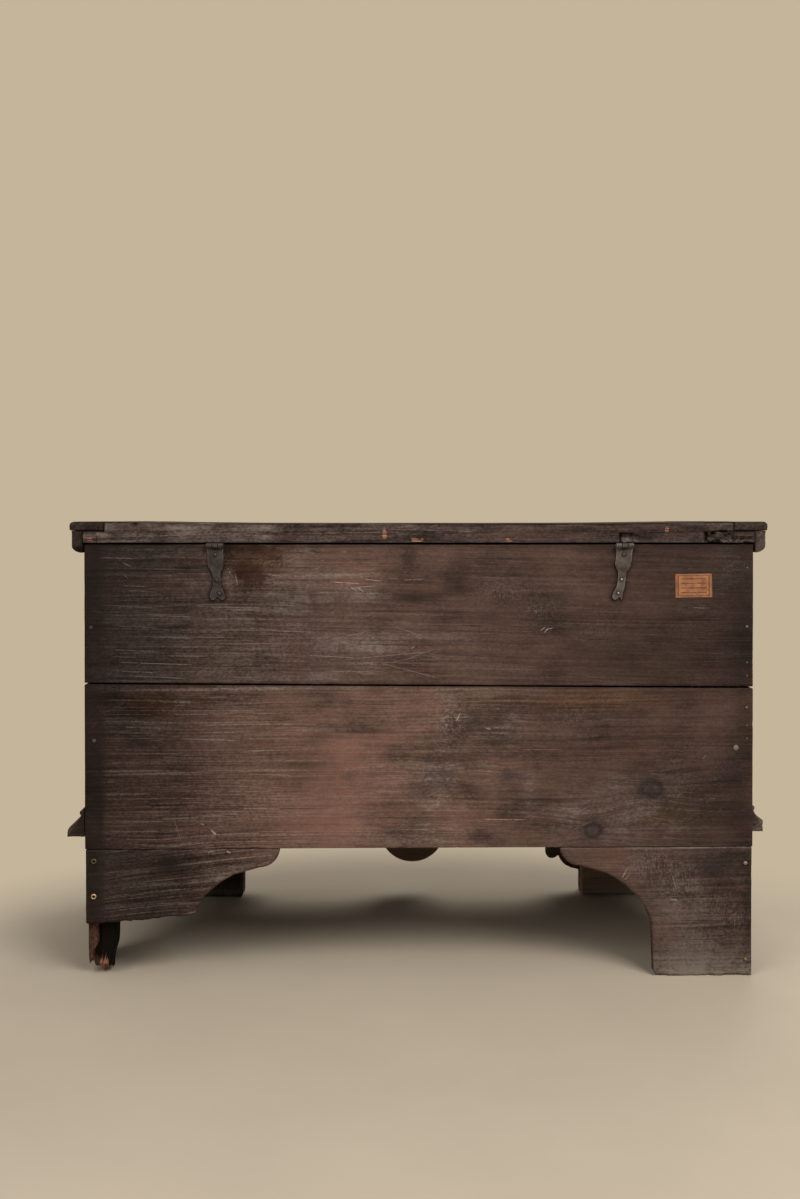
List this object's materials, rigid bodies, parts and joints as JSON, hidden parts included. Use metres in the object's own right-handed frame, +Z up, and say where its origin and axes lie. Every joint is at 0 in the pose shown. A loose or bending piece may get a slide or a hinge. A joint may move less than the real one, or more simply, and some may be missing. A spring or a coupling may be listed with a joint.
{
  "type": "blanket chest",
  "caption": "Plank storage trunk on a scroll-cut bracket base, with a cleated and moulded lid that lifts on fishtail strap hinges at the back.",
  "frame": {"origin": "centre of the bounding box's footprint, on the floor", "axes": "+Z up; the front faces -Y and the hinged back faces +Y; +X is the chest's right as seen from the front"},
  "size_m": [1.3356, 0.604, 0.8683],
  "materials": {
    "case_wood": "old dark red-brown finish on softwood, dry and worn through along the grain",
    "base_wood": "old dark brown finish on softwood, scuffed and dusty towards the floor",
    "lid_wood": "dark brown finish on softwood, with chipped edges that show raw orange wood",
    "inner_wood": "unfinished softwood, browned by age",
    "iron": "wrought iron, dark grey and pitted",
    "brass": "dull brass screw heads"
  },
  "bodies": {
    "case": {"back_board_lower": "case_wood", "back_board_upper": "case_wood", "back_nail_left_lower": "iron", "back_nail_left_upper": "iron", "back_nail_right_lower": "iron", "back_nail_right_upper": "iron", "base_moulding_front": "base_wood", "base_moulding_left": "base_wood", "base_moulding_right": "base_wood", "bottom_plank_1": "inner_wood", "bottom_plank_2": "inner_wood", "bottom_plank_3": "inner_wood", "bracket_screw_left_1": "brass", "bracket_screw_left_2": "brass", "bracket_screw_right_1": "brass", "bracket_screw_right_2": "brass", "corner_block_rear_left": "inner_wood", "corner_block_rear_right": "inner_wood", "end_board_left_lower": "case_wood", "end_board_left_upper": "case_wood", "end_board_right_lower": "case_wood", "end_board_right_upper": "case_wood", "foot_block_front_left": "inner_wood", "foot_block_front_right": "inner_wood", "front_apron": "base_wood", "front_board_lower": "case_wood", "front_board_upper": "case_wood", "hinge_leaf_left": "iron", "hinge_leaf_right": "iron", "hinge_pin_left": "iron", "hinge_pin_right": "iron", "leaf_nail_left_1": "iron", "leaf_nail_left_2": "iron", "leaf_nail_left_3": "iron", "leaf_nail_right_1": "iron", "leaf_nail_right_2": "iron", "leaf_nail_right_3": "iron", "rear_bracket_left": "base_wood", "rear_bracket_right": "base_wood", "side_apron_left": "base_wood", "side_apron_right": "base_wood"},
    "lid": {"hinge_strap_left": "iron", "hinge_strap_right": "iron", "lid_cleat_left": "lid_wood", "lid_cleat_right": "lid_wood", "lid_moulding_front": "lid_wood", "lid_moulding_left": "lid_wood", "lid_moulding_right": "lid_wood", "lid_plank_back": "lid_wood", "lid_plank_front": "lid_wood", "strap_nail_left_1": "iron", "strap_nail_left_2": "iron", "strap_nail_left_3": "iron", "strap_nail_right_1": "iron", "strap_nail_right_2": "iron", "strap_nail_right_3": "iron"}
  },
  "joints": [
    {"name": "lid_hinge", "type": "hinge", "parent": "case", "child": "lid", "pos_m": [0, 0.29655, 0.822], "axis": [-1, 0, 0], "range_deg": [0, 105]}
  ]
}
